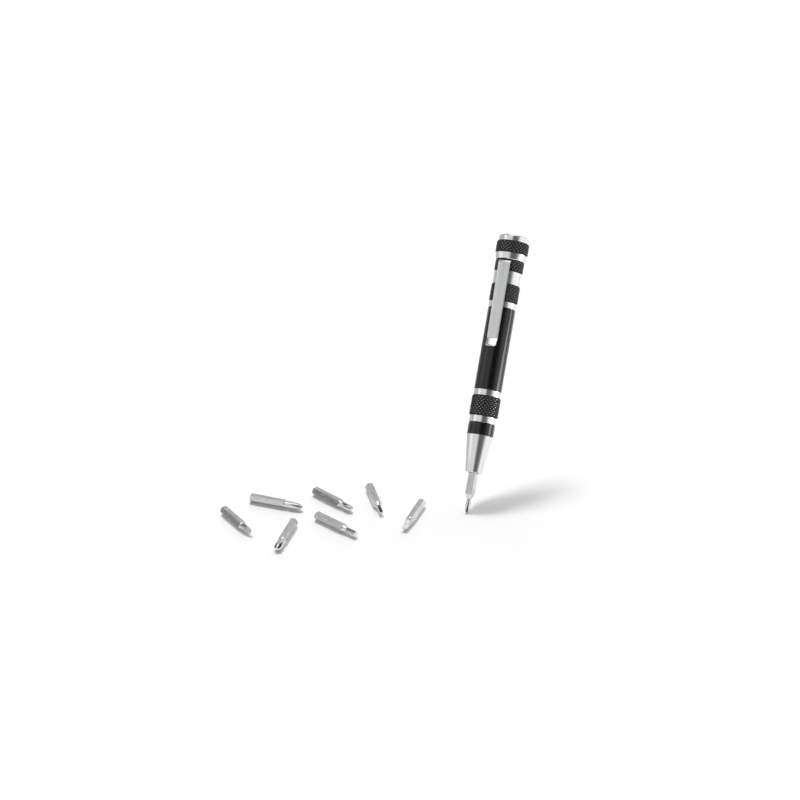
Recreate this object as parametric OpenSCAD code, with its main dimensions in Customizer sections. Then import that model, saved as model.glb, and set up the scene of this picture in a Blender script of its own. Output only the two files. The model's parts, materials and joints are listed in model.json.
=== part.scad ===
// Pen-style pocket screwdriver with a bit store in its barrel and a set of eight bits.
// The driver stands on the tip of its fitted bit and leans back towards +Y.
// The seven spare bits lie on the floor, z = 0, beside it.
// Driver pieces are drawn upright, tip down at z = 0, and on_driver() leans them all.

/* [Stance] */
// Lean of the driver from upright, towards +Y
lean = 36; // [0:1:60]
// Turn of the pocket clip about the driver's axis, from the front towards -X
clip_turn = 5; // [-30:1:30]
// Reach of the spare bits from the driver's tip, over the floor
scatter_reach = 100; // [95:1:140]

/* [Bits] */
// Hexagon of every bit, across its flats
bit_af = 4; // [3.6:0.1:4.4]
// Length of the hexagon of every bit
bit_shank_len = 18.4; // [16:0.1:22]
// Chamfer on both ends of the hexagon
bit_chamfer = 0.45; // [0.3:0.05:0.6]
// Length of the cone between the hexagon and the working end
bit_shoulder_len = 1.6; // [1:0.1:2]
// Working end of the short bits, from the hexagon to the point
short_point_len = 7.2; // [6.2:0.1:9]
// Working end of the long cross bit
long_point_len = 8.9; // [8:0.1:11]
// Working end of the fitted bit
fitted_point_len = 8.4; // [7.6:0.1:11]
// Turn of the fitted bit and its socket about the driver's axis
fitted_turn = 35; // [0:1:60]
// Turn of the fitted cross point against its hexagon
fitted_cross_turn = 25; // [0:1:90]
// Length of the fitted bit that stands out of the nose
fitted_show = 19.6; // [17:0.1:22]

/* [Bit points] */
// Step from the hexagon's flats in to the fitted cross point
fitted_cross_step = 0.85; // [0.6:0.05:1.1]
// Step in to the long cross point
long_cross_step = 0.2; // [0.15:0.05:0.6]
// Step in to the large cross point
large_cross_step = 0.15; // [0.15:0.05:0.5]
// Step in to the necked cross point
necked_cross_step = 0.35; // [0.2:0.05:0.7]
// Length of the rounded end on the short cross points
cross_end_len = 2.4; // [1.8:0.1:3.6]
// Length of the rounded end on the long cross point
long_end_len = 5.2; // [4:0.1:6]
// Length of the rounded end on the fitted cross point
fitted_end_len = 1.1; // [0.8:0.1:2]
// Step in to the edges of the wide blade
wide_blade_step = 0.25; // [0.2:0.05:0.5]
// Step in to the edges of the broad blade
broad_blade_step = 0.25; // [0.2:0.05:0.7]
// Step in to the edges of the narrow blade
narrow_blade_step = 0.85; // [0.6:0.05:1.2]
// Thickness of the blades at the edge
blade_t = 0.5; // [0.4:0.05:0.8]
// Step in to the star point
star_step = 0.55; // [0.4:0.05:0.8]
// Width of the star point's grooves
star_groove_d = 0.8; // [0.6:0.05:0.9]

/* [Nose] */
// Length of the nose
nose_len = 18.4; // [16:0.1:24]
// Step from the collar in to the nose
nose_step = 0.1; // [0.05:0.05:0.4]
// Wall of the nose at its open end
nose_wall = 1; // [0.8:0.05:1.4]
// Length of the nose's spigot inside the tube
spigot_len = 6; // [4:0.1:8]
// Step from the bit store out to the nose's spigot, which closes it
spigot_step = 0.25; // [0.15:0.05:0.4]
// Wall of the socket at the corners of its hexagon
socket_wall = 0.72; // [0.5:0.02:1]
// Depth of the socket's face inside the nose
socket_recess = 0.3; // [0.1:0.05:0.8]
// Length of the magnet
magnet_len = 3; // [2:0.1:4]

/* [Tube] */
// Room round three bits that lie side by side in the store
store_gap = 0.125; // [0.1:0.025:0.3]
// Wall of the tube that carries the sleeves
tube_wall = 0.7; // [0.6:0.05:0.9]
// Length of the tube's threaded neck inside the cap
neck_len = 5.6; // [5:0.1:6.6]
// Pitch of the neck's thread
thread_pitch = 1.3; // [1.1:0.1:1.4]
// Depth of the neck's thread
thread_depth = 0.3; // [0.2:0.05:0.35]
// Number of thread grooves
thread_grooves = 3; // [1:1:3]

/* [Sleeves] */
// Length of the black collar
collar_len = 6.1; // [4:0.1:9]
// Wall of the black collar and of the bright ring above it
collar_wall = 0.63; // [0.5:0.01:0.8]
// Length of the bright ring above the collar
lower_trim_len = 3.4; // [2:0.1:5]
// Length of the knurled lower grip
lower_grip_len = 9.8; // [7:0.1:14]
// Length of the bright rings at the ends of the barrel
barrel_ring_len = 3.2; // [2:0.1:5]
// Wall of the bright rings at the ends of the barrel
barrel_ring_wall = 0.83; // [0.6:0.01:0.9]
// Length of the black barrel
barrel_len = 40.9; // [36:0.1:50]
// Wall of the black barrel
barrel_wall = 0.93; // [0.7:0.01:1.1]
// Length of the knurled middle grip
middle_grip_len = 8.6; // [6:0.1:11]
// Length of the bright spacer ring
spacer_len = 6.6; // [4:0.1:9]
// Wall of the bright spacer ring
spacer_wall = 0.93; // [0.7:0.01:1.1]
// Length of the knurled upper grip
upper_grip_len = 5.7; // [4.5:0.1:8]
// Wall of the three knurled grips, with their teeth
grip_wall = 1.28; // [1.1:0.02:1.5]
// Number of teeth round a knurled sleeve
knurl_teeth = 48; // [36:1:60]
// Depth of the knurl
knurl_depth = 0.3; // [0.2:0.05:0.4]
// Edge break on the turned rings
edge_break = 0.2; // [0.1:0.05:0.3]

/* [Clip] */
// Thickness of the clip's steel
clip_t = 0.6; // [0.5:0.05:0.7]
// Width of the clip at its bend
clip_w = 6.1; // [5:0.1:7.2]
// Width of the clip at its shoe
clip_end_w = 5.4; // [4:0.1:6.4]
// Gap between the upper grip and the clip at its bend
clip_gap = 1.1; // [0.9:0.05:1.6]
// Length of the clip from the bend to the point that presses on the barrel
clip_arm_len = 38.3; // [33:0.1:44]
// Length of the flared shoe
clip_shoe_len = 4; // [3:0.1:6]
// Rise of the flared shoe away from the barrel
clip_shoe_rise = 1.3; // [0.6:0.1:2]
// Corner radius of the shoe
clip_corner_r = 1.2; // [0.6:0.1:1.8]
// Width of the clip's ring round the tube, and of the lock ring above it
clip_ring_wall = 0.45; // [0.4:0.01:0.65]
// Thickness of the lock ring that holds the clip on the tube
lock_ring_t = 1.1; // [0.8:0.1:1.6]

/* [Cap] */
// Length of the bright skirt
skirt_len = 3.3; // [2.5:0.1:4.5]
// Wall of the skirt at its open end
skirt_end_wall = 1.35; // [1.2:0.05:1.6]
// Wall of the skirt below the knurl
skirt_wall = 2; // [1.8:0.05:2.2]
// Length of the cap's knurl
cap_grip_len = 5.9; // [4.8:0.1:8]
// Wall of the cap's knurl
cap_grip_wall = 1.23; // [1.1:0.01:1.5]
// Wall of the core that the cap's knurl sits on
core_wall = 0.95; // [0.8:0.05:1.1]
// Thickness of the bright disc on the cap
disc_len = 3; // [2.5:0.1:4.5]
// Lip of the bright disc over the core
disc_lip = 0.5; // [0.2:0.05:0.7]
// Round on the edge of the bright disc
disc_round = 0.7; // [0.4:0.1:2]
// Thickness of the soft pad inside the cap
pad_t = 1; // [0.6:0.1:1.4]

/* [Fits] */
// Radial gap of the glued and pressed fits
fit_gap = 0.02; // [0.01:0.01:0.04]
// Radial gap of the bit in its socket and of the cap on its thread
run_gap = 0.05; // [0.03:0.01:0.08]
// Gap between faces that part when something moves
seat_gap = 0.05; // [0.03:0.01:0.1]
// Radial gap of the loose pad inside the cap
pad_gap = 0.15; // [0.1:0.05:0.3]

/* [Hidden] */
$fn = 96;
overrun = 0.5;
black = "#17181b";
bright = "#d8dadc";
steel = "#b4b7bb";
magnet_grey = "#5a5d61";
rubber = "#3b3b3d";

bit_corner_d = bit_af / cos(30);
// Run of the chamfer at the working end along the bit, as a share of its depth
neck_run_share = 1.7;
// Blunt end of a cross point, as a share of its shaft
cross_end_share = 0.4;
// Narrower end of the long cross point
long_end_share = 0.22;
// Steps in the round of a cross point
cross_round_steps = 5;
// Core left between the flutes at the end of a cross point, as a share of that end
cross_core_share = 0.33;
// How far the flutes reach up a cross point, as a share of its shaft
flute_reach_share = 0.85;
// Bevel on the ends of a knurl, as a share of its depth
knurl_bevel_share = 1.4;
// Where the wedge of a blade runs out, as a share of the working end
blade_runout_share = 0.8;
// Width of a blade at its edge, as a share of its width at the shoulder
blade_edge_share = 0.75;
// Length of the star point's grooves, as a share of the working end
star_groove_share = 0.7;
// Places on the floor where the spare bits' points begin, as shares of the reach
spare_place_shares = [
    [-0.983, -0.464], [-0.857, -0.212], [-0.76, -0.537], [-0.598, -0.13],
    [-0.51, -0.343], [-0.424, -0.087], [-0.236, -0.182]
];
// The way that each point faces, and its roll on the floor
spare_headings = [-39, -2.5, -88.5, -26.5, -24.5, -59, -92.5];
spare_rolls = [-60, 0, 0, 0, 0, 0, 0];

// Levels along the driver, from the tip upwards
collar_z = fitted_show + nose_len;
lower_trim_z = collar_z + collar_len;
lower_grip_z = lower_trim_z + lower_trim_len;
lower_ring_z = lower_grip_z + lower_grip_len;
barrel_z = lower_ring_z + barrel_ring_len;
upper_ring_z = barrel_z + barrel_len;
middle_grip_z = upper_ring_z + barrel_ring_len;
spacer_z = middle_grip_z + middle_grip_len;
upper_grip_z = spacer_z + spacer_len;
cap_z = upper_grip_z + upper_grip_len + seat_gap;
lock_ring_z = cap_z - seat_gap - lock_ring_t;
clip_z = lock_ring_z - clip_t;
cap_grip_z = cap_z + skirt_len;
disc_z = cap_grip_z + cap_grip_len;
neck_top_z = cap_z + neck_len;
pad_z = neck_top_z + seat_gap;
magnet_z = fitted_point_len + bit_shank_len + seat_gap;

// Diameters, outwards from the bit
socket_hex_d = bit_corner_d + 2 * run_gap / cos(30);
socket_d = socket_hex_d + 2 * socket_wall;
nose_bore_d = socket_d + 2 * fit_gap;
nose_end_d = nose_bore_d + 2 * nose_wall;
store_d = bit_corner_d * (1 + 2 / sqrt(3)) + 2 * store_gap;
spigot_d = store_d + 2 * spigot_step;
tube_d = store_d + 2 * tube_wall;
sleeve_bore_d = tube_d + 2 * fit_gap;
collar_d = sleeve_bore_d + 2 * collar_wall;
nose_d = collar_d - 2 * nose_step;
barrel_ring_d = sleeve_bore_d + 2 * barrel_ring_wall;
barrel_d = sleeve_bore_d + 2 * barrel_wall;
spacer_d = sleeve_bore_d + 2 * spacer_wall;
grip_d = sleeve_bore_d + 2 * grip_wall;
clip_ring_d = sleeve_bore_d + 2 * clip_ring_wall;
cap_bore_d = tube_d + 2 * run_gap;
cap_core_d = cap_bore_d + 2 * core_wall;
skirt_end_d = cap_bore_d + 2 * skirt_end_wall;
skirt_d = cap_bore_d + 2 * skirt_wall;
cap_grip_bore_d = cap_core_d + 2 * fit_gap;
cap_grip_d = cap_grip_bore_d + 2 * cap_grip_wall;
disc_d = cap_core_d + 2 * disc_lip;
fitted_cross_d = bit_af - 2 * fitted_cross_step;
// How far the round of the fitted point reaches below its middle when the driver leans
tip_lift = max([for (p = cross_round(fitted_cross_d, fitted_end_len, cross_end_share))
    p.x * sin(lean) - p.y * cos(lean)]);
clip_stand = grip_d / 2 + clip_gap + clip_t / 2;

// The clip's mid line, as distance from the axis and level: bend, pressing point, end of the shoe
clip_bend = [clip_stand, clip_z + clip_t / 2];
clip_press = [barrel_d / 2 + seat_gap + clip_t / 2, clip_bend.y - clip_arm_len];
clip_end = clip_press + [clip_shoe_rise, -clip_shoe_len];

// Placing

// Leans an upright piece of the driver, with the round of its tip on the floor
module on_driver() {
    translate([0, 0, tip_lift]) rotate([-lean, 0, 0]) children();
}

// Turns a clip piece drawn at the front, -Y, to the clip's place
module at_clip() {
    rotate(-clip_turn) children();
}

// Lays a bit on one flat on the floor, its point facing its heading
module lay_spare(i) {
    place = scatter_reach * spare_place_shares[i];
    translate([place.x, place.y, bit_af / 2]) rotate(spare_headings[i]) rotate([0, -90, 0])
        rotate(spare_rolls[i]) children();
}

// Turned rings and knurled sleeves

module turned_ring(z, length, d) {
    r = d / 2;
    translate([0, 0, z]) rotate_extrude() polygon([
        [sleeve_bore_d / 2, 0], [r - edge_break, 0], [r, edge_break], [r, length - edge_break],
        [r - edge_break, length], [sleeve_bore_d / 2, length]
    ]);
}

module knurl_outline(d) {
    polygon([
        for (i = [0 : 2 * knurl_teeth - 1])
            (d / 2 - (i % 2) * knurl_depth) * [cos(180 * i / knurl_teeth), sin(180 * i / knurl_teeth)]
    ]);
}

// Knurled sleeve whose teeth are bevelled at both ends
module knurled_sleeve(z, length, d, bore_d) {
    end_r = d / 2 - knurl_bevel_share * knurl_depth;
    bevel = knurl_bevel_share * knurl_depth + overrun;
    translate([0, 0, z]) difference() {
        intersection() {
            linear_extrude(length) knurl_outline(d);
            rotate_extrude() polygon([
                [0, 0], [end_r, 0], [end_r + bevel, bevel], [end_r + bevel, length - bevel],
                [end_r, length], [0, length]
            ]);
        }
        translate([0, 0, -overrun]) cylinder(d = bore_d, h = length + 2 * overrun);
    }
}

// Bits, drawn upright with the hexagon from z = 0 upwards and the point below

// Hexagon shank with turned ends, flats facing -X and +X
module bit_shank() {
    end_r = bit_corner_d / 2 - bit_chamfer;
    outer_r = bit_corner_d / 2 + overrun;
    slope = outer_r - end_r;
    intersection() {
        rotate(30) cylinder(d = bit_corner_d, h = bit_shank_len, $fn = 6);
        rotate_extrude() polygon([
            [0, 0], [end_r, 0], [outer_r, slope * neck_run_share], [outer_r, bit_shank_len - slope],
            [end_r, bit_shank_len], [0, bit_shank_len]
        ]);
    }
}

// Cone that narrows from the hexagon to the working end
module bit_shoulder(d) {
    translate([0, 0, -bit_shoulder_len])
        cylinder(d1 = d, d2 = bit_corner_d - 2 * bit_chamfer, h = bit_shoulder_len);
}

// Profile of a cross point's round, from its blunt end up to its shaft
function cross_round(d, end_len, end_share) = [
    for (i = [0 : cross_round_steps]) let (a = 90 * i / cross_round_steps)
        [d / 2 * (end_share + (1 - end_share) * sin(a)), end_len * (1 - cos(a))]
];

// Round shaft with a blunt rounded end, cut by four flutes into a cross
module cross_bit(step, point_len, end_len, end_share = cross_end_share, turn = 0) {
    d = bit_af - 2 * step;
    core_r = d * end_share * cross_core_share;
    shaft_len = point_len - bit_shoulder_len;
    flute_len = shaft_len * flute_reach_share;
    flute_tilt = atan((d / 2 - core_r) / flute_len);
    bit_shank();
    bit_shoulder(d);
    translate([0, 0, -point_len]) difference() {
        rotate_extrude() polygon(concat(
            [[0, 0]], cross_round(d, end_len, end_share), [[d / 2, shaft_len], [0, shaft_len]]
        ));
        for (a = [45 : 90 : 315])
            rotate(a + turn) translate([core_r, 0, 0]) rotate([0, flute_tilt, 0]) rotate(-45)
                translate([0, 0, -flute_len / 2]) cube([d, d, 2 * flute_len]);
    }
}

// Flat blade that widens back into a round shaft
module slot_bit(step, point_len) {
    w = bit_af - 2 * step;
    runout = point_len * blade_runout_share;
    bit_shank();
    bit_shoulder(w);
    translate([0, 0, -point_len]) intersection() {
        cylinder(d1 = w * blade_edge_share, d2 = w, h = point_len - bit_shoulder_len);
        rotate([90, 0, 0]) linear_extrude(w, center = true) polygon([
            [-blade_t / 2, 0], [blade_t / 2, 0], [w / 2, runout], [w / 2, point_len],
            [-w / 2, point_len], [-w / 2, runout]
        ]);
    }
}

// Round shaft with six round grooves and a square end
module star_bit(step, point_len) {
    d = bit_af - 2 * step;
    bit_shank();
    bit_shoulder(d);
    translate([0, 0, -point_len]) difference() {
        cylinder(d = d, h = point_len - bit_shoulder_len);
        for (a = [0 : 60 : 300])
            rotate(a) translate([d / 2, 0, -overrun])
                cylinder(d = star_groove_d, h = point_len * star_groove_share + overrun);
    }
}

// Nose

module fitted_bit() {
    color(steel) on_driver() translate([0, 0, fitted_point_len]) rotate(fitted_turn)
        cross_bit(fitted_cross_step, fitted_point_len, fitted_end_len, turn = fitted_cross_turn);
}

module nose_cone() {
    r = nose_end_d / 2;
    spigot_r = spigot_d / 2;
    spigot_z = collar_z + spigot_len;
    bore_r = nose_bore_d / 2;
    bore_end = magnet_z + magnet_len;
    color(bright) on_driver() rotate_extrude() polygon([
        [bore_r, fitted_show], [r - edge_break, fitted_show], [r, fitted_show + edge_break],
        [nose_d / 2, collar_z], [spigot_r, collar_z], [spigot_r, spigot_z], [0, spigot_z],
        [0, bore_end], [bore_r, bore_end]
    ]);
}

module bit_socket() {
    face = fitted_show + socket_recess;
    color(steel) on_driver() difference() {
        translate([0, 0, face]) cylinder(d = socket_d, h = magnet_z - face);
        translate([0, 0, face - overrun]) rotate(fitted_turn + 30)
            cylinder(d = socket_hex_d, h = magnet_z - face + 2 * overrun, $fn = 6);
    }
}

module socket_magnet() {
    color(magnet_grey) on_driver() translate([0, 0, magnet_z]) cylinder(d = socket_d, h = magnet_len);
}

// Handle

// Tube that carries every sleeve, open at the top, with a grooved neck for the cap
module magazine_tube() {
    r = tube_d / 2;
    seat_r = spigot_d / 2 + fit_gap;
    seat_z = collar_z + spigot_len;
    thread_z = neck_top_z - thread_pitch * (thread_grooves + 0.5);
    color(bright) on_driver() rotate_extrude() polygon(concat(
        [[store_d / 2, neck_top_z], [store_d / 2, seat_z], [seat_r, seat_z], [seat_r, collar_z],
         [r, collar_z], [r, thread_z]],
        [for (i = [0 : thread_grooves - 1]) each [
            [r - thread_depth, thread_z + thread_pitch * (i + 0.5)],
            [r, thread_z + thread_pitch * (i + 1)]
        ]],
        [[r, neck_top_z - thread_depth], [r - thread_depth, neck_top_z]]
    ));
}

module nose_collar() {
    color(black) on_driver() turned_ring(collar_z, collar_len, collar_d);
}

module lower_trim_ring() {
    color(bright) on_driver() turned_ring(lower_trim_z, lower_trim_len, collar_d);
}

module lower_grip() {
    color(black) on_driver() knurled_sleeve(lower_grip_z, lower_grip_len, grip_d, sleeve_bore_d);
}

module barrel_ring_lower() {
    color(bright) on_driver() turned_ring(lower_ring_z, barrel_ring_len, barrel_ring_d);
}

module barrel() {
    color(black) on_driver() turned_ring(barrel_z, barrel_len, barrel_d);
}

module barrel_ring_upper() {
    color(bright) on_driver() turned_ring(upper_ring_z, barrel_ring_len, barrel_ring_d);
}

module middle_grip() {
    color(black) on_driver() knurled_sleeve(middle_grip_z, middle_grip_len, grip_d, sleeve_bore_d);
}

module spacer_ring() {
    color(bright) on_driver() turned_ring(spacer_z, spacer_len, spacer_d);
}

// Grip whose top is counterbored for the clip's ring and slotted for its tongue
module upper_grip() {
    slot_w = clip_w + 2 * seat_gap;
    slot_h = clip_t + lock_ring_t + overrun;
    color(black) on_driver() difference() {
        knurled_sleeve(upper_grip_z, upper_grip_len, grip_d, sleeve_bore_d);
        translate([0, 0, clip_z]) {
            cylinder(d = clip_ring_d + 2 * fit_gap, h = slot_h);
            at_clip() translate([-slot_w / 2, -grip_d, 0]) cube([slot_w, grip_d, slot_h]);
        }
    }
}

// Pocket clip

// Flat ring round the neck with a tongue that ends at the bend
module clip_ring() {
    tongue = clip_stand - clip_t / 2 - seat_gap;
    color(steel) on_driver() translate([0, 0, clip_z]) difference() {
        union() {
            cylinder(d = clip_ring_d, h = clip_t);
            at_clip() translate([-clip_w / 2, -tongue, 0]) cube([clip_w, tongue, clip_t]);
        }
        translate([0, 0, -overrun]) cylinder(d = sleeve_bore_d, h = clip_t + 2 * overrun);
    }
}

// Ring that holds the clip down in the upper grip
module clip_lock_ring() {
    color(black) on_driver() translate([0, 0, lock_ring_z]) difference() {
        cylinder(d = clip_ring_d, h = lock_ring_t);
        translate([0, 0, -overrun]) cylinder(d = sleeve_bore_d, h = lock_ring_t + 2 * overrun);
    }
}

// Strip of even thickness along a line of points, round at each point
module strip(points, t) {
    for (p = points) translate(p) circle(d = t);
    for (i = [1 : len(points) - 1]) {
        run = points[i] - points[i - 1];
        translate(points[i - 1]) rotate(atan2(run.y, run.x)) translate([0, -t / 2])
            square([norm(run), t]);
    }
}

// Front outline of the arm: straight sides that draw in, round corners at the shoe
module clip_outline() {
    end_z = clip_end.y - clip_t / 2;
    corner_z = end_z + clip_corner_r;
    top_z = clip_bend.y + clip_t;
    difference() {
        polygon([
            [-clip_w / 2, top_z], [clip_w / 2, top_z], [clip_end_w / 2, corner_z], [clip_end_w / 2, end_z],
            [-clip_end_w / 2, end_z], [-clip_end_w / 2, corner_z]
        ]);
        for (side = [0, 1]) mirror([side, 0]) translate([clip_end_w / 2 - clip_corner_r, corner_z])
            difference() {
                translate([0, -clip_corner_r - overrun]) square(clip_corner_r + overrun);
                circle(clip_corner_r);
            }
    }
}

module pocket_clip() {
    color(steel) on_driver() at_clip() intersection() {
        rotate(-90) rotate([90, 0, 0]) linear_extrude(2 * clip_w, center = true)
            strip([clip_bend, clip_press, clip_end], clip_t);
        rotate([90, 0, 0]) linear_extrude(2 * clip_stand) clip_outline();
    }
}

// Cap

// Open core of the cap with its flared skirt
module cap_core() {
    bore_r = cap_bore_d / 2;
    core_r = cap_core_d / 2;
    color(bright) on_driver() rotate_extrude() polygon([
        [bore_r, cap_z], [skirt_end_d / 2 - edge_break, cap_z], [skirt_end_d / 2, cap_z + edge_break],
        [skirt_d / 2, cap_grip_z - edge_break], [skirt_d / 2 - edge_break, cap_grip_z],
        [core_r, cap_grip_z], [core_r, disc_z], [bore_r, disc_z]
    ]);
}

module cap_grip() {
    color(black) on_driver()
        knurled_sleeve(cap_grip_z, cap_grip_len, cap_grip_d, cap_grip_bore_d);
}

// Bright disc with a round edge, plugged into the core
module cap_disc() {
    r = disc_d / 2;
    plug_z = pad_z + pad_t + seat_gap;
    color(bright) on_driver() union() {
        translate([0, 0, plug_z]) cylinder(d = cap_bore_d - 2 * fit_gap, h = disc_z - plug_z);
        translate([0, 0, disc_z]) rotate_extrude() {
            square([r - disc_round, disc_len]);
            square([r, disc_len - disc_round]);
            intersection() {
                translate([r - disc_round, disc_len - disc_round]) circle(disc_round);
                square([r, disc_len]);
            }
        }
    }
}

module cap_pad() {
    color(rubber) on_driver() translate([0, 0, pad_z]) cylinder(d = cap_bore_d - 2 * pad_gap, h = pad_t);
}

// Spare bits

module spare_slot_wide() {
    color(steel) lay_spare(0) slot_bit(wide_blade_step, short_point_len);
}

module spare_cross_long() {
    color(steel) lay_spare(1) cross_bit(long_cross_step, long_point_len, long_end_len, long_end_share);
}

module spare_cross_large() {
    color(steel) lay_spare(2) cross_bit(large_cross_step, short_point_len, cross_end_len);
}

module spare_cross_necked() {
    color(steel) lay_spare(3) cross_bit(necked_cross_step, short_point_len, cross_end_len);
}

module spare_star() {
    color(steel) lay_spare(4) star_bit(star_step, short_point_len);
}

module spare_slot_narrow() {
    color(steel) lay_spare(5) slot_bit(narrow_blade_step, short_point_len);
}

module spare_slot_broad() {
    color(steel) lay_spare(6) slot_bit(broad_blade_step, short_point_len);
}

fitted_bit();
nose_cone();
bit_socket();
socket_magnet();
magazine_tube();
nose_collar();
lower_trim_ring();
lower_grip();
barrel_ring_lower();
barrel();
barrel_ring_upper();
middle_grip();
spacer_ring();
upper_grip();
clip_ring();
clip_lock_ring();
pocket_clip();
cap_core();
cap_grip();
cap_disc();
cap_pad();
spare_slot_wide();
spare_cross_long();
spare_cross_large();
spare_cross_necked();
spare_star();
spare_slot_narrow();
spare_slot_broad();
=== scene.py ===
import json
import math

import bmesh
import bpy
from mathutils import Matrix, Vector


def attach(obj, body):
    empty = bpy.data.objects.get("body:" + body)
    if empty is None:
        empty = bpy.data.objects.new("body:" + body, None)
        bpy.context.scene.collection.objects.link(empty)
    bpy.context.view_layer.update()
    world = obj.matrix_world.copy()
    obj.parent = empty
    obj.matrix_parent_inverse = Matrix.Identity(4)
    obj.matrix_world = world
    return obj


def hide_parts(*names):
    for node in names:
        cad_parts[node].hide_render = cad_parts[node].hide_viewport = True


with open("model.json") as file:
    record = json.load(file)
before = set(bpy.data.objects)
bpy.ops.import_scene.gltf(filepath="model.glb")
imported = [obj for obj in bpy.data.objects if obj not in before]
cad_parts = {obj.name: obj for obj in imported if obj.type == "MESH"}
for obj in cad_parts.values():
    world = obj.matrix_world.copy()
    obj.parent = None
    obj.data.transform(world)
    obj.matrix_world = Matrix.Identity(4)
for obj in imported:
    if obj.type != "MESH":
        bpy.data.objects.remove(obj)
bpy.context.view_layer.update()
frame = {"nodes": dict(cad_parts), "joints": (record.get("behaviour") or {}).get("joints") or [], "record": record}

nodes = frame["nodes"]
joints = {joint["name"]: joint for joint in frame["joints"]}
mm = 0.001
print("frame loaded:", len(nodes), "pieces")


# The driver's own frame: Z up its axis from the tip, X across, -Y at the front
axis = Vector(joints["cap_turn"]["axis"]).normalized()
axisPoint = Vector(joints["cap_turn"]["pos_m"])
foot = axisPoint - axis * axisPoint.dot(axis)
across = Vector((1, 0, 0))
driver = Matrix.Translation(foot) @ Matrix((across, axis.cross(across), axis)).transposed().to_4x4()
toDriver = driver.inverted()
lean = math.atan2(axis.y, axis.z)


def onDriver(node):
    return [toDriver @ vertex.co for vertex in nodes[node].data.vertices]


def levels(node):
    heights = [point.z for point in onDriver(node)]
    return min(heights), max(heights)


def radii(node):
    reaches = [point.xy.length for point in onDriver(node)]
    return min(reaches), max(reaches)


rimDepth = 0.6 * mm    # in from either end of a bit, what is taken as its rim


# The middle of a bit's tail and of its slimmer working end
def bitEnds(node):
    points = [vertex.co for vertex in nodes[node].data.vertices]
    start = max(points, key=lambda point: (point - points[0]).length)
    far = max(points, key=lambda point: (point - start).length)
    way = (far - start).normalized()
    ends = []
    for end in (start, far):
        rim = [point for point in points if abs((point - end).dot(way)) < rimDepth]
        middle = sum(rim, Vector()) / len(rim)
        ends.append((max((point - middle).length for point in rim), middle))
    ends.sort(key=lambda end: end[0])
    return ends[1][1], ends[0][1]


# Finishes

def linear(hexColour):
    parts = [int(hexColour[i:i + 2], 16) / 255 for i in (1, 3, 5)]
    return [c / 12.92 if c <= 0.04045 else ((c + 0.055) / 1.055) ** 2.4 for c in parts] + [1.0]


def addNode(tree, kind, settings, inputs, stops=()):
    node = tree.nodes.new(kind)
    for key, value in settings.items():
        setattr(node, key, value)
    for key, value in inputs.items():
        if isinstance(value, bpy.types.NodeSocket):
            tree.links.new(value, node.inputs[key])
        else:
            node.inputs[key].default_value = value
    for i, (place, level) in enumerate(stops):
        elements = node.color_ramp.elements
        element = elements[i] if i < len(elements) else elements.new(1.0)
        element.position = place
        element.color = (level, level, level, 1)
    return node


grainNoise = {
    "detail": 2.0, "roughness": 0.6,
    "low": 0.3, "high": 0.7}    # nearly all of the noise lies between these


# Two tones and two roughnesses mixed by a grain that is stretched the way the surface was made
def finish(name, look, turn=(0, 0, 0), place=(0, 0, 0)):
    material = bpy.data.materials.new(name)
    material.use_nodes = True
    tree = material.node_tree
    shader = tree.nodes["Principled BSDF"]
    shader.inputs["Metallic"].default_value = look["metallic"]
    shader.inputs["IOR"].default_value = look.get("ior", 1.5)    # metals keep the default
    coords = addNode(tree, "ShaderNodeTexCoord", {}, {})
    grain = addNode(tree, "ShaderNodeMapping", {"vector_type": "TEXTURE"}, {
        "Vector": coords.outputs["Object"], "Location": place, "Rotation": turn,
        "Scale": [size * mm for size in look["grain"]]})
    noise = addNode(tree, "ShaderNodeTexNoise", {}, {
        "Vector": grain.outputs["Vector"], "Scale": 1.0,
        "Detail": grainNoise["detail"], "Roughness": grainNoise["roughness"]})
    tone = addNode(tree, "ShaderNodeMix", {"data_type": "RGBA"}, {
        "Factor": noise.outputs["Fac"], 6: linear(look["dark"]), 7: linear(look["light"])})
    gloss = addNode(tree, "ShaderNodeMapRange", {}, {
        "Value": noise.outputs["Fac"], "From Min": grainNoise["low"], "From Max": grainNoise["high"],
        "To Min": look["roughness"][0], "To Max": look["roughness"][1]}).outputs["Result"]
    if "groundFrom" in look:
        along = addNode(tree, "ShaderNodeMapping", {"vector_type": "TEXTURE"}, {
            "Vector": coords.outputs["Object"], "Location": place, "Rotation": turn,
            "Scale": (mm, mm, mm)})
        distance = addNode(tree, "ShaderNodeSeparateXYZ", {}, {"Vector": along.outputs["Vector"]})
        ground = addNode(tree, "ShaderNodeMapRange", {}, {
            "Value": distance.outputs["X"], "From Min": look["groundFrom"],
            "From Max": look["groundFrom"] + look["groundFade"]})
        gloss = addNode(tree, "ShaderNodeMix", {"data_type": "FLOAT"}, {
            0: ground.outputs["Result"], 2: gloss, 3: look["groundRoughness"]}).outputs[0]
    bump = addNode(tree, "ShaderNodeBump", {}, {
        "Height": noise.outputs["Fac"], "Strength": look["bump"], "Distance": look["relief"] * mm})
    tree.links.new(tone.outputs[2], shader.inputs["Base Color"])
    tree.links.new(gloss, shader.inputs["Roughness"])
    tree.links.new(bump.outputs["Normal"], shader.inputs["Normal"])
    return material


# Anodised aluminium, turned and dyed black: a deep black under a glassy oxide skin
glossBlack = {
    "dark": "#0a0a0b", "light": "#111113", "metallic": 0.0, "ior": 1.54, "roughness": (0.08, 0.13),
    "grain": (9, 9, 0.4),  # lathe lines are 0.05 mm apart, drawn wider to show
    "bump": 0.15, "relief": 0.002}

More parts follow.
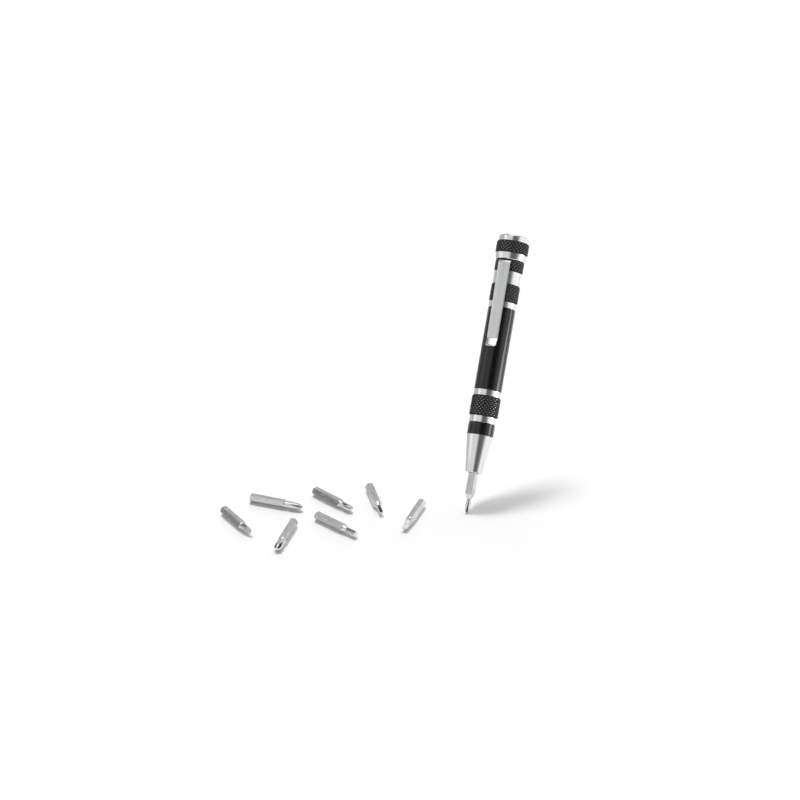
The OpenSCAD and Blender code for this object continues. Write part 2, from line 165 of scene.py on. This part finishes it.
# The same skin over a rolled diamond knurl: small facets that sparkle, crests rubbed to the metal
knurledBlack = {
    "dark": "#050506", "light": "#0a0a0b", "metallic": 0.0, "ior": 1.45, "roughness": (0.16, 0.24),
    "grain": (0.6, 0.6, 0.6), "bump": 0.2, "relief": 0.01,
    "crest": "#c8c9cb", "crestFrom": 0.92, "crestWear": 0.85}  # share of the height, share of metal bared

# Aluminium turned bright on a lathe: mirror bands along it, softened by fine rings round it
brightTurned = {
    "dark": "#e6e7e9", "light": "#f1f2f3", "metallic": 1.0, "roughness": (0.06, 0.11),
    "grain": (9, 9, 0.4),  # lathe lines, drawn wider here too
    "bump": 0.15, "relief": 0.002}

# Spring steel, stamped and satin nickel plated: an even soft grey, brushed along the strip
satinSpring = {
    "dark": "#d7d8d9", "light": "#e1e2e3", "metallic": 1.0, "roughness": (0.17, 0.24),
    "grain": (0.5, 0.5, 6),  # brush lines are 0.05 mm wide, drawn wider to show
    "bump": 0.1, "relief": 0.004}

# The sheared edges of the same strip: duller and darker, left as they came from the punch. The strip's inner side
# takes the same darker colour as painted shade, standing in for the shade under the clip
shearedEdgeAndShade = {
    "dark": "#76777a", "light": "#8c8d90", "metallic": 1.0, "roughness": (0.45, 0.6),
    "grain": (0.4, 0.4, 0.4), "bump": 0.3, "relief": 0.02}

# Tool steel drawn to a hexagon and nickel plated: satin flats streaked by draw lines, a ground bright point
drawnSteel = {
    "dark": "#b4b5b7", "light": "#fdfdfe", "metallic": 1.0, "roughness": (0.1, 0.24),
    "grain": (4, 0.9, 0.9),  # draw lines are 0.05 mm wide, drawn wider to show
    "groundFrom": 17.7, "groundFade": 0.2, "groundRoughness": 0.06,  # mm from the tail, mm to full polish
    "bump": 0.5, "relief": 0.02}

# Sintered magnet, nickel plated: darker, with a slightly pebbled shine
platedMagnet = {
    "dark": "#8b8c8f", "light": "#9b9ca0", "metallic": 1.0, "roughness": (0.2, 0.34),
    "grain": (0.5, 0.5, 0.5), "bump": 0.2, "relief": 0.01}

# Soft moulded rubber: matt near-black with a fine cast grain
mouldedRubber = {
    "dark": "#202021", "light": "#2d2d2e", "metallic": 0.0, "ior": 1.52, "roughness": (0.7, 0.85),
    "grain": (0.4, 0.4, 0.4), "bump": 0.4, "relief": 0.03}

alongDriver = {"turn": (-lean, 0, 0), "place": foot}
finishes = {
    "black_anodised": finish("glossBlackAnodised", glossBlack, **alongDriver),
    "bright_aluminium": finish("brightTurnedAluminium", brightTurned, **alongDriver),
    "spring_steel": finish("satinNickelSpringSteel", satinSpring, **alongDriver),
    "magnet": finish("nickelPlatedMagnet", platedMagnet, **alongDriver),
    "soft_rubber": finish("mouldedRubber", mouldedRubber, **alongDriver)}
knurlFinish = finish("knurledBlackAnodised", knurledBlack, **alongDriver)

# Crests of the knurl, from the height kept on its mesh
knurlTree = knurlFinish.node_tree
knurlShader = knurlTree.nodes["Principled BSDF"]
crest = addNode(knurlTree, "ShaderNodeAttribute", {"attribute_name": "crest"}, {})
rubbed = addNode(knurlTree, "ShaderNodeMapRange", {}, {
    "Value": crest.outputs["Fac"], "From Min": knurledBlack["crestFrom"], "From Max": 1.0,
    "To Max": knurledBlack["crestWear"]})
worn = addNode(knurlTree, "ShaderNodeMix", {"data_type": "RGBA"}, {
    "Factor": rubbed.outputs["Result"], 6: knurlShader.inputs["Base Color"].links[0].from_socket,
    7: linear(knurledBlack["crest"])})
knurlTree.links.new(worn.outputs[2], knurlShader.inputs["Base Color"])
knurlTree.links.new(rubbed.outputs["Result"], knurlShader.inputs["Metallic"])


def dress(piece, material):
    piece.data.materials.clear()
    piece.data.materials.append(material)


for part in frame["record"]["subparts"]:
    node, slot = part["node"], part["material_slot"]
    if slot in finishes:
        dress(nodes[node], finishes[slot])
    elif node == "bit_socket":
        unground = dict(drawnSteel, groundFrom=1000)    # past its end, so that none of it is ground
        dress(nodes[node], finish("broachedSocketSteel", unground, **alongDriver))
    else:
        # The draw lines follow each bit from its tail, so each has the finish turned its own way
        tail, tip = bitEnds(node)
        alongBit = (tip - tail).to_track_quat("X", "Z").to_euler()
        dress(nodes[node], finish("drawnSteel." + node, drawnSteel, turn=alongBit, place=tail))
print("finishes made:", len(bpy.data.materials))


def makePiece(name, points, faces, material):
    mesh = bpy.data.meshes.new(name)
    mesh.from_pydata(points, [], faces)
    shape = bmesh.new()
    shape.from_mesh(mesh)
    bmesh.ops.recalc_face_normals(shape, faces=shape.faces)
    shape.to_mesh(mesh)
    shape.free()
    piece = bpy.data.objects.new(name, mesh)
    bpy.context.scene.collection.objects.link(piece)
    dress(piece, material)
    return piece


# Knurled sleeves

knurl = {
    "pitch": 1.95,    # mm from diamond to diamond; about 1.2 on such a sleeve, coarser here to show
    "grid": 10,       # points to a pitch
    "depth": 0.35,    # mm
    "flat": 1.3,      # 1 brings the diamonds to a point, more leaves a flat on each
    "bevel": 0.42,    # mm that the ends are turned down by
    "keepIn": 0.001}  # mm, so that rounding can't carry a point past the solid


def knurledSleeve(name, node, body):
    low, high = levels(node)
    bore, outer = radii(node)
    outer -= knurl["keepIn"] * mm
    grid = knurl["grid"]
    columns = grid * round(2 * math.pi * outer / (knurl["pitch"] * mm))
    rows = round((high - low) / (knurl["pitch"] * mm / grid))
    depth, bevel = knurl["depth"] * mm, knurl["bevel"] * mm
    points, heights, faces = [], [], []
    for row in range(rows + 1):
        level = (high - low) * row / rows
        fromEnd = min(level, high - low - level)
        for column in range(columns):
            # Two families of grooves, one climbing each way
            rises = [((column + way * row) / grid) % 1 for way in (1, -1)]
            height = min(1, knurl["flat"] * min(1 - abs(2 * rise - 1) for rise in rises))
            reach = min(outer - depth * (1 - height), outer - bevel + fromEnd)
            angle = 2 * math.pi * column / columns
            points.append(driver @ Vector((reach * math.cos(angle), reach * math.sin(angle), low + level)))
            heights.append(max(0, 1 - (outer - reach) / depth))
    for row in range(rows):
        for column in range(columns):
            a, b = row * columns + column, row * columns + (column + 1) % columns
            c, d = b + columns, a + columns
            # The diagonals lie along the grooves
            faces += [(a, b, c), (a, c, d)] if (row + column) % 2 == 0 else [(a, b, d), (b, c, d)]
    inner = len(points)
    for level in (low, high):
        for column in range(columns):
            angle = 2 * math.pi * column / columns
            points.append(driver @ Vector((bore * math.cos(angle), bore * math.sin(angle), level)))
            heights.append(0)
    for column in range(columns):
        after = (column + 1) % columns
        lowIn, lowAfter = inner + column, inner + after
        faces += [(after, column, lowIn, lowAfter),
                  (rows * columns + column, rows * columns + after, lowAfter + columns, lowIn + columns),
                  (lowAfter, lowIn, lowIn + columns, lowAfter + columns)]
    piece = makePiece(name, points, faces, knurlFinish)
    piece.data.attributes.new("crest", "FLOAT", "POINT").data.foreach_set("value", heights)
    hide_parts(node)
    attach(piece, body)
    return piece


def cutAway(piece, points, faces):
    mesh = bpy.data.meshes.new("cutter")
    mesh.from_pydata(points, [], faces)
    cutter = bpy.data.objects.new("cutter", mesh)
    bpy.context.scene.collection.objects.link(cutter)
    cut = piece.modifiers.new("cut", "BOOLEAN")
    cut.operation, cut.solver, cut.object = "DIFFERENCE", "EXACT", cutter
    bpy.context.view_layer.update()
    whole = piece.data
    piece.data = bpy.data.meshes.new_from_object(piece.evaluated_get(bpy.context.evaluated_depsgraph_get()))
    piece.modifiers.clear()
    bpy.data.objects.remove(cutter)
    bpy.data.meshes.remove(mesh)
    bpy.data.meshes.remove(whole)


for name, node, body in (("lowerKnurl", "lower_grip", "handle"), ("middleKnurl", "middle_grip", "handle"),
                         ("capKnurl", "cap_grip", "cap")):
    knurledSleeve(name, node, body)
upperKnurl = knurledSleeve("upperKnurl", "upper_grip", "handle")

# The upper sleeve is counterbored for the clip's ring and slotted for its tongue
clipRing = {
    "room": 0.02, "tongueRoom": 0.05,    # mm round the ring, and at each side of its tongue
    "slotReach": 10, "above": 1,         # mm from the axis and over the sleeve that the cuts run on to
    "sides": 96}                         # facets of the seat
bend = toDriver @ Vector(joints["clip_flex"]["pos_m"])
clipTurn = math.atan2(bend.x, -bend.y)
toClip = Matrix.Rotation(-clipTurn, 4, "Z")
fromClip = driver @ toClip.inverted()    # the clip's own frame, with the clip at -Y
ringReach = radii("clip_lock_ring")[1] + clipRing["room"] * mm
ringFoot = levels("clip_ring")[0] - clipRing["room"] * mm
ringTop = levels("upper_grip")[1] + clipRing["above"] * mm
tongue = max(abs((toClip @ point).x) for point in onDriver("clip_ring")
             if (toClip @ point).y < -ringReach) + clipRing["tongueRoom"] * mm
sides = clipRing["sides"]
seatPoints = []
for z in (ringFoot, ringTop):
    for i in range(sides):
        angle = 2 * math.pi * i / sides
        seatPoints.append(driver @ Vector((ringReach * math.cos(angle), ringReach * math.sin(angle), z)))
seatWalls = [(i, (i + 1) % sides, sides + (i + 1) % sides, sides + i) for i in range(sides)]
seatEnds = [tuple(reversed(range(sides))), tuple(range(sides, 2 * sides))]
cutAway(upperKnurl, seatPoints, seatWalls + seatEnds)
slotEnd = -clipRing["slotReach"] * mm
slotPoints = [fromClip @ Vector((x, y, z)) for z in (ringFoot, ringTop)
              for x, y in ((-tongue, slotEnd), (tongue, slotEnd), (tongue, 0), (-tongue, 0))]
slotWalls = [(3, 2, 1, 0), (4, 5, 6, 7), (0, 1, 5, 4), (1, 2, 6, 5), (2, 3, 7, 6), (3, 0, 4, 7)]
cutAway(upperKnurl, slotPoints, slotWalls)
print("knurled sleeves made")


# Pocket clip: a strip bent over at the top, pressed in towards the barrel and flared at the shoe

clip = {
    "press": (7.101, 85.8), "end": (8.401, 81.55),   # mm from the axis and up it, at the middle of the strip
    "tuck": 1.6,                                     # mm that the strip runs in under the cap
    "bendRadius": 0.8, "creaseRadius": 1.6,          # mm, at the middle of the strip
    "thickness": 0.6, "width": 6.1, "endWidth": 5.4, "corner": 1.2, "edge": 0.08,
    "tongueGap": 0.05,                               # mm from the strip to the ring's tongue
    "edgeFacing": 0.9, "innerFacing": 0.7,           # how far a face looks sideways to count as sheared, or in to take the painted shade
    "sharpAngle": 50, "steps": 8}                    # degrees; steps to a bend

bendPoint = Vector((bend.xy.length / mm, bend.z / mm))
corners = [bendPoint - Vector((clip["tuck"], 0)), bendPoint, Vector(clip["press"]), Vector(clip["end"])]
middleLine = []    # places along the strip, each with the way it runs there
for before, corner, after, radius in ((corners[0], corners[1], corners[2], clip["bendRadius"]),
                                      (corners[1], corners[2], corners[3], clip["creaseRadius"])):
    wayIn, wayOut = (corner - before).normalized(), (after - corner).normalized()
    swing = math.atan2(wayIn.cross(wayOut), wayIn.dot(wayOut))
    run = radius * abs(math.tan(swing / 2))
    centre = corner - wayIn * run + Vector((-wayIn.y, wayIn.x)) * math.copysign(radius, swing)
    for step in range(clip["steps"] + 1):
        way = Matrix.Rotation(swing * step / clip["steps"], 2) @ wayIn
        middleLine.append((centre + Vector((way.y, -way.x)) * math.copysign(radius, swing), way))
shoeWay = (corners[3] - corners[2]).normalized()
for step in range(clip["steps"] + 1):
    share = math.sin(math.pi / 2 * step / clip["steps"])
    middleLine.append((corners[3] - shoeWay * clip["corner"] * (1 - share), shoeWay))

cornerLevel = corners[3].y + clip["corner"] * -shoeWay.y
stripPoints, stripFaces = [], []
edge = clip["edge"]
sectionPoints = 12    # round the strip, three to each of its edges
for i, (place, way) in enumerate(middleLine):
    outward = Vector((-way.y, way.x))
    share = (place.y - cornerLevel) / (bendPoint.y - cornerLevel)
    halfWidth = (clip["endWidth"] + (clip["width"] - clip["endWidth"]) * max(0, min(1, share))) / 2
    if place.y < cornerLevel:
        drop = min(1, (cornerLevel - place.y) / (cornerLevel - corners[3].y))
        halfWidth -= clip["corner"] * (1 - math.sqrt(1 - drop * drop))
    halfThick = clip["thickness"] / 2
    if i in (0, len(middleLine) - 1):
        halfWidth, halfThick = halfWidth - edge, halfThick - edge / 2
    for k in range(sectionPoints):
        quarter, onEdge = divmod(k, 3)
        angle = math.pi / 2 * quarter + math.pi / 4 * onEdge
        side = (halfWidth - edge) * (1 if quarter in (0, 3) else -1) + edge * math.cos(angle)
        rise = (halfThick - edge) * (1 if quarter in (0, 1) else -1) + edge * math.sin(angle)
        spot = place + outward * rise
        stripPoints.append(fromClip @ Vector((side * mm, -spot.x * mm, spot.y * mm)))
for i in range(len(middleLine) - 1):
    for k in range(sectionPoints):
        first, second = i * sectionPoints + k, i * sectionPoints + (k + 1) % sectionPoints
        stripFaces.append((first, second, second + sectionPoints, first + sectionPoints))
lastSection = len(stripPoints) - sectionPoints
stripFaces += [tuple(range(sectionPoints)), tuple(range(lastSection, len(stripPoints)))]
clipStrip = makePiece("clipStrip", stripPoints, stripFaces, finishes["spring_steel"])
clipStrip.data.materials.append(finish("shearedAndShadedSpringSteel", shearedEdgeAndShade, **alongDriver))
# Faces looking sideways get the duller sheared finish; faces looking in get the same darker colour as painted
# shade under the clip
for face in clipStrip.data.polygons:
    face.use_smooth = True
    facing = fromClip.inverted().to_3x3() @ face.normal
    if abs(facing.x) > clip["edgeFacing"] or facing.y > clip["innerFacing"]:
        face.material_index = 1
clipStrip.data.set_sharp_from_angle(angle=math.radians(clip["sharpAngle"]))
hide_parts("pocket_clip")
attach(clipStrip, "clip")

# The ring's tongue stops short of the round bend
tongueEnd = (middleLine[0][0].x - clip["tongueGap"]) * mm
ringMesh = nodes["clip_ring"].data.copy()
for vertex in ringMesh.vertices:
    inClip = fromClip.inverted() @ vertex.co
    inClip.y = max(inClip.y, -tongueEnd)
    vertex.co = fromClip @ inClip
clipSeat = bpy.data.objects.new("clipSeatRing", ringMesh)
bpy.context.scene.collection.objects.link(clipSeat)
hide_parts("clip_ring")
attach(clipSeat, "handle")
print("clip bent")


# Floor

floorLook = {
    "size": 6.0, "tone": "#e7e7e7",                 # m across
    "drop": 0.02,                                   # mm below the part, so that nothing lies in its plane
    "glow": 0.14,                                   # brings the lit floor up to white for the eye and for gloss
    "dimX": (-0.012, -0.03), "dimY": (0.0, 0.01),   # m, over which the back left of the floor is darker for gloss only: painted shade seen in reflections
    "dim": 0.5}

halfFloor = floorLook["size"] / 2
whitePaper = bpy.data.materials.new("whiteBackgroundPaper")
whitePaper.use_nodes = True
paperTree = whitePaper.node_tree
paper = paperTree.nodes["Principled BSDF"]
paper.inputs["Roughness"].default_value = 1.0
paper.inputs["Specular IOR Level"].default_value = 0.0
paper.inputs["Emission Color"].default_value = (1, 1, 1, 1)
floorRay = addNode(paperTree, "ShaderNodeLightPath", {}, {})
seen = addNode(paperTree, "ShaderNodeMath", {"operation": "MAXIMUM"}, {
    0: floorRay.outputs["Is Camera Ray"], 1: floorRay.outputs["Is Glossy Ray"]})
seenThrough = addNode(paperTree, "ShaderNodeMath", {"operation": "MAXIMUM"}, {
    0: seen.outputs[0], 1: floorRay.outputs["Is Transmission Ray"]})
glow = addNode(paperTree, "ShaderNodeMath", {"operation": "MULTIPLY"}, {
    0: seenThrough.outputs[0], 1: floorLook["glow"]})
floorCoords = addNode(paperTree, "ShaderNodeTexCoord", {}, {})
floorSpot = addNode(paperTree, "ShaderNodeSeparateXYZ", {}, {"Vector": floorCoords.outputs["Object"]})
# Painted shade: the floor's tone is darkened at the back left for glossy rays only, so that its reflections there
# are darker
left = addNode(paperTree, "ShaderNodeMapRange", {}, {
    "Value": floorSpot.outputs["X"], "From Min": floorLook["dimX"][0], "From Max": floorLook["dimX"][1],
    "To Max": floorLook["dim"]})
leftBack = addNode(paperTree, "ShaderNodeMapRange", {}, {
    "Value": floorSpot.outputs["Y"], "From Min": floorLook["dimY"][0], "From Max": floorLook["dimY"][1],
    "To Max": left.outputs["Result"]})
paintedGlossShade = addNode(paperTree, "ShaderNodeMath", {"operation": "MULTIPLY"}, {
    0: leftBack.outputs["Result"], 1: floorRay.outputs["Is Glossy Ray"]})
paperTone = addNode(paperTree, "ShaderNodeMix", {"data_type": "RGBA"}, {
    "Factor": paintedGlossShade.outputs[0], 6: linear(floorLook["tone"]), 7: (0, 0, 0, 1)})
paperTree.links.new(paperTone.outputs[2], paper.inputs["Base Color"])
paperTree.links.new(glow.outputs[0], paper.inputs["Emission Strength"])
floor = makePiece("floor", [(-halfFloor, -halfFloor, 0), (halfFloor, -halfFloor, 0),
                            (halfFloor, halfFloor, 0), (-halfFloor, halfFloor, 0)], [(0, 1, 2, 3)], whitePaper)
floor.location.z = -floorLook["drop"] * mm


# Light: a key strip and a broad soft light from behind, an even fill, and a studio that only gloss sees

lamps = {
    # from and to: the ways to the two ends of a lamp; count: suns along it; width: degrees across each sun
    "keyStrip": {"strength": 1.95, "from": (-0.197, 0.542, 1.0), "to": (-0.389, 0.36, 1.0),
                 "count": 5, "width": 8},
    "backLight": {"strength": 2.4, "from": (-0.1, 1.0, 0.75), "to": (-0.1, 1.0, 0.75),
                  "count": 1, "width": 84}}
fillLevel = 0.09    # from all round

for name, lamp in lamps.items():
    for i in range(lamp["count"]):
        sun = bpy.data.lights.new(name, "SUN")
        sun.energy = lamp["strength"] / lamp["count"]
        sun.angle = math.radians(lamp["width"])
        light = bpy.data.objects.new(name, sun)
        lampWay = Vector(lamp["from"]).lerp(Vector(lamp["to"]), i / max(1, lamp["count"] - 1))
        light.rotation_euler = lampWay.to_track_quat("Z", "Y").to_euler()
        light.visible_glossy = False
        bpy.context.scene.collection.objects.link(light)

# Cards that only gloss sees, upright beside the part in m: three dim ones on the left, a lit strip on the right
cards = {
    "lowCard": {"at": -0.16, "front": -0.072, "back": -0.03, "foot": 0.0, "top": 0.018, "level": 0.29},
    "dimCard": {"at": -0.16, "front": -0.07, "back": -0.03, "foot": 0.018, "top": 0.042, "level": 0.23},
    "softCard": {"at": -0.16, "front": -0.105, "back": -0.072, "foot": 0.0, "top": 0.06, "level": 0.58},
    "litStrip": {"at": 0.3, "front": 0.03, "back": 0.17, "foot": 0.0, "top": 0.09, "level": 4.6}}

for name, card in cards.items():
    coat = bpy.data.materials.new(name)
    coat.use_nodes = True
    board = coat.node_tree.nodes["Principled BSDF"]
    board.inputs["Base Color"].default_value = (0, 0, 0, 1)
    board.inputs["Roughness"].default_value = 1.0
    board.inputs["Specular IOR Level"].default_value = 0.0
    board.inputs["Emission Color"].default_value = (1, 1, 1, 1)
    board.inputs["Emission Strength"].default_value = card["level"]
    outline = (("front", "foot"), ("back", "foot"), ("back", "top"), ("front", "top"))
    stand = makePiece(name, [(card["at"], card[y], card[z]) for y, z in outline], [(0, 1, 2, 3)], coat)
    stand.visible_camera = stand.visible_diffuse = stand.visible_shadow = stand.visible_transmission = False

# Grey levels of the studio as gloss sees them
panorama = {
    # by degrees right of the front, once round from the left
    "walls": ((-90, 0.5), (-84, 0.6), (-76, 0.95), (-68, 1.05), (-57, 0.88), (-47, 0.7), (-33, 0.76),
              (-18, 0.77), (-5, 0.71), (3, 0.42), (10, 0.2), (20, 0.13), (36, 0.13), (46, 0.15),
              (55, 0.25), (62, 0.42), (68, 0.7), (77, 1.0), (92, 1.05), (130, 0.9),
              (170, 0.64), (205, 0.54), (240, 0.46), (270, 0.5)),
    # by the sine of height: share of the ceiling, and of a dark gap below it
    "ceiling": ((0.79, 0), (0.85, 0.6), (0.91, 0.6), (0.96, 1)), "ceilingLevel": 1.6,
    "gap": ((0.69, 0), (0.74, 1), (0.8, 1), (0.85, 0)), "gapLevel": 0.1,
    # by degrees again: how much of the gap there is, none of it at the front
    "gapTurn": ((-90, 1), (-35, 1), (-15, 0), (30, 0), (60, 1))}


# A turn round the studio as a share of its ramp, which starts at the left
def roundStudio(stops):
    return [((degrees + 90) / 360, level) for degrees, level in stops]


world = bpy.data.worlds.new("studio")
bpy.context.scene.world = world
world.use_nodes = True
sky = world.node_tree
sky.nodes.clear()
skyWay = addNode(sky, "ShaderNodeTexCoord", {}, {}).outputs["Generated"]
skyHeight = addNode(sky, "ShaderNodeSeparateXYZ", {}, {"Vector": skyWay}).outputs["Z"]
skyTurn = addNode(sky, "ShaderNodeTexGradient", {"gradient_type": "RADIAL"}, {"Vector": skyWay}).outputs["Fac"]
wallTone = addNode(sky, "ShaderNodeValToRGB", {}, {"Fac": skyTurn}, roundStudio(panorama["walls"]))
ceiling = addNode(sky, "ShaderNodeValToRGB", {}, {"Fac": skyHeight}, panorama["ceiling"])
gap = addNode(sky, "ShaderNodeValToRGB", {}, {"Fac": skyHeight}, panorama["gap"])
gapTurn = addNode(sky, "ShaderNodeValToRGB", {}, {"Fac": skyTurn}, roundStudio(panorama["gapTurn"]))
gapShare = addNode(sky, "ShaderNodeMath", {"operation": "MULTIPLY"}, {
    0: gap.outputs["Color"], 1: gapTurn.outputs["Color"]})
room = addNode(sky, "ShaderNodeMix", {"data_type": "RGBA"}, {
    "Factor": ceiling.outputs["Color"], 6: wallTone.outputs["Color"], 7: [panorama["ceilingLevel"]] * 3 + [1]})
gapped = addNode(sky, "ShaderNodeMix", {"data_type": "RGBA"}, {
    "Factor": gapShare.outputs[0], 6: room.outputs[2], 7: [panorama["gapLevel"]] * 3 + [1]})
skyRay = addNode(sky, "ShaderNodeLightPath", {}, {})
studio = addNode(sky, "ShaderNodeBackground", {}, {"Color": gapped.outputs[2], "Strength": 1.0})
fill = addNode(sky, "ShaderNodeBackground", {}, {"Color": (1, 1, 1, 1), "Strength": fillLevel})
white = addNode(sky, "ShaderNodeBackground", {}, {"Color": (1, 1, 1, 1), "Strength": 1.0})
byGloss = addNode(sky, "ShaderNodeMixShader", {}, {
    "Fac": skyRay.outputs["Is Glossy Ray"], 1: fill.outputs[0], 2: studio.outputs[0]})
plain = addNode(sky, "ShaderNodeMath", {"operation": "MAXIMUM"}, {
    0: skyRay.outputs["Is Camera Ray"], 1: skyRay.outputs["Is Transmission Ray"]})
byCamera = addNode(sky, "ShaderNodeMixShader", {}, {
    "Fac": plain.outputs[0], 1: byGloss.outputs[0], 2: white.outputs[0]})
addNode(sky, "ShaderNodeOutputWorld", {}, {"Surface": byCamera.outputs[0]})
print("studio lit")


# Camera

view = {
    "turn": 17.2, "height": 28.5,         # degrees right of the front and above the floor
    "distance": 1120, "scale": 0.4858,    # mm from the tip, and mm to a pixel there
    "tip": (466.6, 513.2), "frame": 800,  # the tip's pixel in the frame
    "sensor": 36,                         # mm wide
    "nearest": 0.05, "farthest": 20}      # m, how near and how far it sees

turnAngle, heightAngle = math.radians(view["turn"]), math.radians(view["height"])
back = Vector((math.sin(turnAngle) * math.cos(heightAngle), -math.cos(turnAngle) * math.cos(heightAngle),
               math.sin(heightAngle)))    # from the tip to the camera
right = Vector((math.cos(turnAngle), math.sin(turnAngle), 0))
up = back.cross(right)
middle = view["frame"] / 2
cameraSpot = (back * view["distance"] - right * (view["tip"][0] - middle) * view["scale"]
              + up * (view["tip"][1] - middle) * view["scale"]) * mm
lens = bpy.data.cameras.new("camera")
lens.sensor_fit = "HORIZONTAL"
lens.sensor_width = view["sensor"]
lens.lens = view["sensor"] * view["distance"] / (view["frame"] * view["scale"])
lens.clip_start, lens.clip_end = view["nearest"], view["farthest"]
camera = bpy.data.objects.new("camera", lens)
camera.matrix_world = Matrix.Translation(cameraSpot) @ Matrix((right, up, back)).transposed().to_4x4()
bpy.context.scene.collection.objects.link(camera)
bpy.context.scene.camera = camera
bpy.context.scene.view_settings.view_transform = "Standard"
print("camera set")
